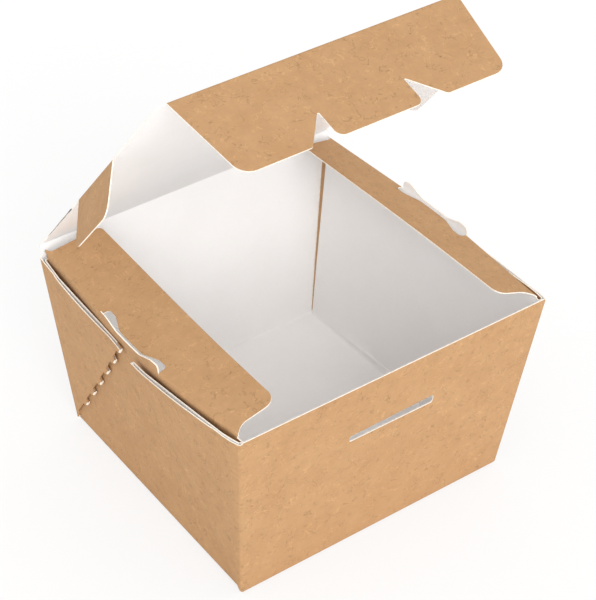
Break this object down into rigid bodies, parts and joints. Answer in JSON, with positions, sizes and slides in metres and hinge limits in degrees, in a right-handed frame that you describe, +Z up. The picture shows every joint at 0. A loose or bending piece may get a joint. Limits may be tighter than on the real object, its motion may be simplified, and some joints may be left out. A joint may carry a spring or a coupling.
{
  "type": "takeaway box",
  "caption": "Folded kraft board takeaway box with leaning walls, web corners, dust flaps, and a hinged lid whose lock flap closes on the front wall.",
  "frame": {"origin": "middle of the underside of the floor, on the surface that the box stands on", "axes": "+X to the right along the front wall, +Y from the front wall to the back wall that carries the lid, +Z up"},
  "size_m": [0.1494, 0.1301, 0.188],
  "materials": {
    "kraft_board": "matte"
  },
  "bodies": {
    "tray": {"tray": "kraft_board", "dust_flap_left": "kraft_board", "dust_flap_right": "kraft_board"},
    "lid": {"lid": "kraft_board", "side_flap_left": "kraft_board", "side_flap_right": "kraft_board"},
    "lock_flap": {"lock_flap": "kraft_board"}
  },
  "joints": [
    {"name": "lid_hinge", "type": "hinge", "parent": "tray", "child": "lid", "pos_m": [0, 0.06489, 0.0842], "axis": [-1, 0, 0], "range_deg": [-52.7, 52.6], "deforming": ["dust_flap_left", "dust_flap_right", "side_flap_left", "side_flap_right"]},
    {"name": "lock_flap_hinge", "type": "hinge", "parent": "lid", "child": "lock_flap", "pos_m": [0, -0.01492, 0.18783], "axis": [-1, 0, 0], "range_deg": [-28.8, 66.6]}
  ]
}
